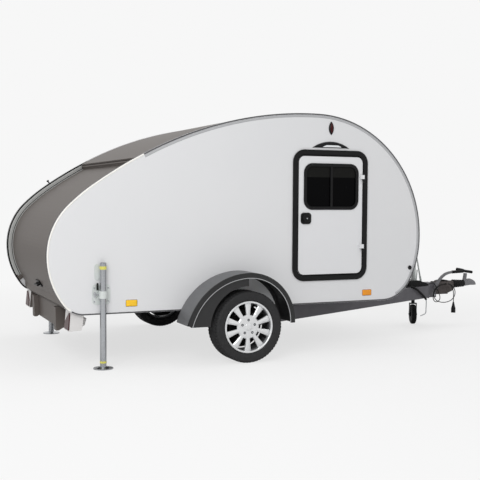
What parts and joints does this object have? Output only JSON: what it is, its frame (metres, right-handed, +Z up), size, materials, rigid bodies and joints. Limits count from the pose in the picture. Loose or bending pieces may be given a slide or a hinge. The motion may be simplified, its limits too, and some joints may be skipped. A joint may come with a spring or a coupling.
{
  "type": "teardrop trailer",
  "caption": "Teardrop sleeping trailer with curved cabin, side doors, rear galley hatch, single axle, V drawbar, jockey wheel and rear support legs.",
  "frame": {"origin": "on the ground, in the middle of the footprint from the tail of the body to the tip of the coupling", "axes": "+X forward to the coupling, +Y to the left side, +Z up"},
  "size_m": [4.614, 2.312, 1.987],
  "materials": {
    "wall_panel": "glossy pale white coated aluminium sandwich panel",
    "bronze_skin": "glossy bronze grey metallic coat on a light sandwich panel",
    "floor_board": "dark sealed plywood",
    "plywood": "oiled birch plywood",
    "aluminium_rail": "satin anodised",
    "black_plastic": "fine moulded grain",
    "window_glass": "dark tinted acrylic",
    "lamp_plastic": "clear and coloured lenses",
    "lamp_red": "red lens",
    "fender_plastic": "grained polypropylene",
    "chassis_paint": "dark grey powder coat",
    "axle_paint": "black axle paint",
    "drum_iron": "machined cast iron",
    "tyre_rubber": "matt tread and sidewall",
    "wheel_alloy": "silver lacquered cast alloy",
    "coupling_cast": "grey primed casting",
    "zinc_steel": "bright zinc plating",
    "rubber": "moulded rubber",
    "cable_sheath": "matt cable sheath"
  },
  "bodies": {
    "trailer": {"side_wall_right": "wall_panel", "side_wall_left": "wall_panel", "roof_skin": "bronze_skin", "cabin_floor": "floor_board", "bulkhead": "plywood", "galley_unit": "plywood", "hatch_rails": "aluminium_rail", "door_frame_right": "black_plastic", "door_frame_left": "black_plastic", "side_lamps": "lamp_plastic", "rear_bumper": "bronze_skin", "tail_lamps": "lamp_red", "fender_right": "fender_plastic", "fender_left": "fender_plastic", "axle": "axle_paint", "chassis_rails": "chassis_paint", "cross_members": "chassis_paint", "drawbar_rail_right": "chassis_paint", "drawbar_rail_left": "chassis_paint", "drawbar_cover": "black_plastic", "coupling_bracket": "chassis_paint", "overrun_housing": "coupling_cast", "bellows": "rubber", "coupling_head": "coupling_cast", "coupling_handle": "black_plastic", "handbrake_lever": "zinc_steel", "jockey_clamp": "zinc_steel", "stand_clamps": "zinc_steel", "tow_cable": "cable_sheath", "tow_plug": "black_plastic"},
    "wheel_right": {"hub_right": "drum_iron", "tyre_right": "tyre_rubber", "rim_right": "wheel_alloy"},
    "door_right": {"door_leaf_right": "wall_panel", "window_rim_right": "black_plastic", "window_glass_right": "window_glass", "door_handle_right": "black_plastic"},
    "rear_leg_right": {"stand_leg_right": "zinc_steel"},
    "wheel_left": {"hub_left": "drum_iron", "tyre_left": "tyre_rubber", "rim_left": "wheel_alloy"},
    "door_left": {"door_leaf_left": "wall_panel", "window_rim_left": "black_plastic", "window_glass_left": "window_glass", "door_handle_left": "black_plastic"},
    "rear_leg_left": {"stand_leg_left": "zinc_steel"},
    "hatch": {"hatch_panel": "bronze_skin", "hatch_handle": "black_plastic"},
    "jockey_tube": {"jockey_tube": "zinc_steel"},
    "jockey_fork": {"jockey_fork": "zinc_steel"},
    "jockey_wheel": {"jockey_wheel": "rubber"}
  },
  "joints": [
    {"name": "wheel_right_spin", "type": "hinge", "parent": "trailer", "child": "wheel_right", "pos_m": [-0.785, -1.055, 0.281], "axis": [0, 1, 0], "continuous": true},
    {"name": "door_right_hinge", "type": "hinge", "parent": "trailer", "child": "door_right", "pos_m": [0.3735, -0.921, 1.1], "axis": [0, 0, 1], "range_deg": [0, 165]},
    {"name": "rear_leg_right_slide", "type": "slide", "parent": "trailer", "child": "rear_leg_right", "axis": [0, 0, 1], "range_m": [0, 0.25]},
    {"name": "wheel_left_spin", "type": "hinge", "parent": "trailer", "child": "wheel_left", "pos_m": [-0.785, 1.055, 0.281], "axis": [0, 1, 0], "continuous": true},
    {"name": "door_left_hinge", "type": "hinge", "parent": "trailer", "child": "door_left", "pos_m": [0.3735, 0.921, 1.1], "axis": [0, 0, -1], "range_deg": [0, 165]},
    {"name": "rear_leg_left_slide", "type": "slide", "parent": "trailer", "child": "rear_leg_left", "axis": [0, 0, 1], "range_m": [0, 0.25]},
    {"name": "hatch_hinge", "type": "hinge", "parent": "trailer", "child": "hatch", "pos_m": [-1.60609, 0, 1.56734], "axis": [0, 1, 0], "range_deg": [0, 75]},
    {"name": "jockey_slide", "type": "slide", "parent": "trailer", "child": "jockey_tube", "axis": [0, 0, 1], "range_m": [0, 0.12]},
    {"name": "jockey_swivel", "type": "hinge", "parent": "jockey_tube", "child": "jockey_fork", "pos_m": [1.675, 0.19, 0.3], "axis": [0, 0, 1], "continuous": true},
    {"name": "jockey_wheel_spin", "type": "hinge", "parent": "jockey_fork", "child": "jockey_wheel", "pos_m": [1.675, 0.19, 0.1], "axis": [0.9135, -0.4067, 0], "continuous": true}
  ]
}
